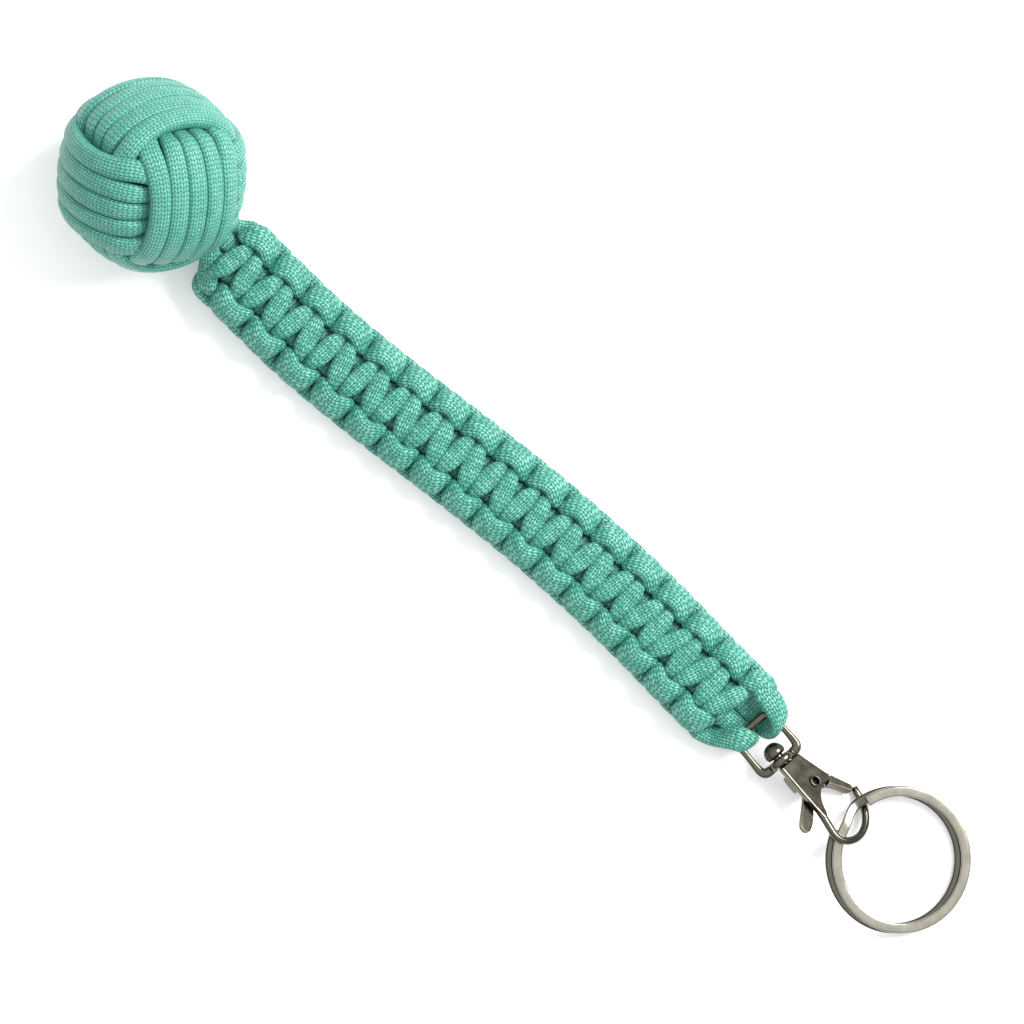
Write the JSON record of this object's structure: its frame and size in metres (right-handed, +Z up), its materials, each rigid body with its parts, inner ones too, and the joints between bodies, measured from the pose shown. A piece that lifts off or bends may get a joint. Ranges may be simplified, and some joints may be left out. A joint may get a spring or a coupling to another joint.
{
  "type": "monkey fist key fob",
  "caption": "Paracord key fob: monkey's fist ball, cobra-weave lanyard, swivel trigger clasp and flat-wire split key ring",
  "frame": {"origin": "middle of the fob's box at the level of the surface it lies on", "axes": "+X from the ball to the key ring, +Z up out of the surface, +Y across the lanyard"},
  "size_m": [0.2223, 0.0348, 0.0352],
  "materials": {
    "nylon_cord": "satin braided nylon, mint green",
    "core_steel": "bare ground steel",
    "dark_nickel": "polished dark nickel plate",
    "bright_nickel": "polished nickel plate"
  },
  "bodies": {
    "fist": {"core_ball": "core_steel", "first_wrap": "nylon_cord", "second_wrap": "nylon_cord", "third_wrap": "nylon_cord"},
    "neck": {"neck_strand_left": "nylon_cord", "neck_strand_right": "nylon_cord"},
    "stretch_1": {"stretch_1_core_left": "nylon_cord", "stretch_1_core_right": "nylon_cord", "stretch_1_cord_front": "nylon_cord", "stretch_1_cord_back": "nylon_cord"},
    "stretch_2": {"stretch_2_core_left": "nylon_cord", "stretch_2_core_right": "nylon_cord", "stretch_2_cord_front": "nylon_cord", "stretch_2_cord_back": "nylon_cord"},
    "stretch_3": {"stretch_3_core_left": "nylon_cord", "stretch_3_core_right": "nylon_cord", "stretch_3_cord_front": "nylon_cord", "stretch_3_cord_back": "nylon_cord"},
    "stretch_4": {"stretch_4_core_left": "nylon_cord", "stretch_4_core_right": "nylon_cord", "stretch_4_cord_front": "nylon_cord", "stretch_4_cord_back": "nylon_cord"},
    "stretch_5": {"stretch_5_core_left": "nylon_cord", "stretch_5_core_right": "nylon_cord", "stretch_5_cord_front": "nylon_cord", "stretch_5_cord_back": "nylon_cord", "eye_loop_left": "nylon_cord", "eye_loop_right": "nylon_cord"},
    "eye": {"eye": "dark_nickel"},
    "hook": {"hook": "dark_nickel", "swivel_rivet": "dark_nickel", "gate_pin": "dark_nickel", "gate_spring": "dark_nickel"},
    "gate": {"gate_lever": "dark_nickel"},
    "ring": {"split_ring": "bright_nickel"}
  },
  "joints": [
    {"name": "ball_swing", "type": "hinge", "parent": "fist", "child": "neck", "pos_m": [-0.07654, -0.00191, 0.00914], "axis": [0.3439, -0.0216, 0.9388], "range_deg": [-30, 30]},
    {"name": "neck_bend", "type": "hinge", "parent": "neck", "child": "stretch_1", "pos_m": [-0.07391, -0.00208, 0.00821], "axis": [0.0619, 0.9981, 0], "range_deg": [-30, 30]},
    {"name": "weave_bend_1", "type": "hinge", "parent": "stretch_1", "child": "stretch_2", "pos_m": [-0.047, -0.00316, 0.00414], "axis": [-0.0217, 0.9998, 0], "range_deg": [-14, 14]},
    {"name": "weave_bend_2", "type": "hinge", "parent": "stretch_2", "child": "stretch_3", "pos_m": [-0.02348, -0.00184, 0.00404], "axis": [-0.0791, 0.9969, 0], "range_deg": [-14, 14]},
    {"name": "weave_bend_3", "type": "hinge", "parent": "stretch_3", "child": "stretch_4", "pos_m": [0.00378, -0.00018, 0.00405], "axis": [-0.0308, 0.9995, 0], "range_deg": [-14, 14]},
    {"name": "weave_bend_4", "type": "hinge", "parent": "stretch_4", "child": "stretch_5", "pos_m": [0.02734, -0.00037, 0.00407], "axis": [0.0426, 0.9991, 0], "range_deg": [-14, 14]},
    {"name": "eye_swing", "type": "hinge", "parent": "stretch_5", "child": "eye", "pos_m": [0.05936, -0.00234, 0.0057], "axis": [0.1392, 0.9903, 0], "range_deg": [-75, 75]},
    {"name": "hook_swivel", "type": "hinge", "parent": "eye", "child": "hook", "pos_m": [0.0658, -0.00325, 0.0057], "axis": [0.9903, -0.1392, 0], "continuous": true},
    {"name": "gate_turn", "type": "hinge", "parent": "hook", "child": "gate", "pos_m": [0.07519, -0.00294, 0.00461], "axis": [0.0778, 0.5538, 0.829], "range_deg": [-20, 0], "stiffness_Nm_per_rad": 0.03, "springref_deg": 17.19},
    {"name": "ring_turn", "type": "hinge", "parent": "hook", "child": "ring", "pos_m": [0.08519, -0.00344, 0.0042], "axis": [0.1461, -0.9893, 0], "range_deg": [-20, 135]}
  ]
}
